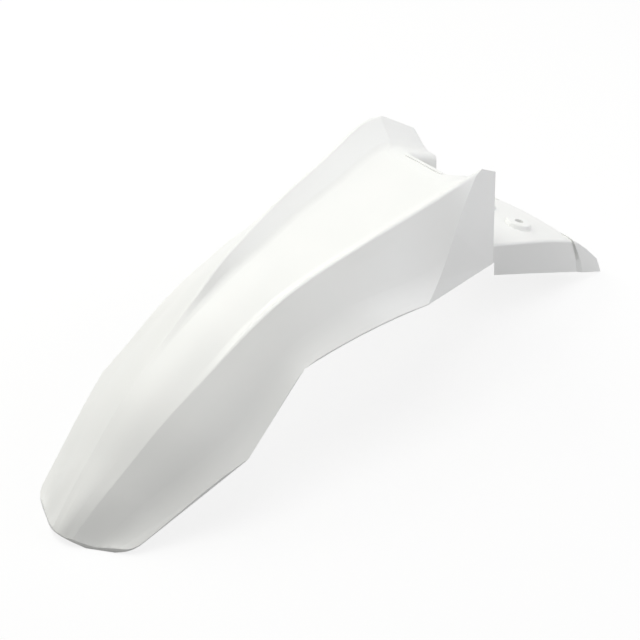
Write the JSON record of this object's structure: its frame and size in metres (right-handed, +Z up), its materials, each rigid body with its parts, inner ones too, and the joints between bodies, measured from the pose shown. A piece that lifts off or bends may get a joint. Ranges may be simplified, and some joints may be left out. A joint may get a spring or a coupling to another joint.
{
  "type": "motorcycle front mudguard",
  "caption": "Front mudguard of a small off-road motorcycle: creased shell with two ridges rising to peaks, a channel between them and a raked tail deck that bolts under the fork yoke.",
  "frame": {"origin": "midway between the two bolt holes, on the plane of the raised seats that meet the fork yoke", "axes": "+X forwards to the tip, +Y to the rider's left, +Z up with the guard standing on its tip and the two corners of its tail"},
  "size_m": [0.6007, 0.189, 0.1857],
  "materials": {
    "white_plastic": "glossy, moulded in colour"
  },
  "bodies": {
    "root": {"mudguard": "white_plastic"}
  },
  "joints": []
}
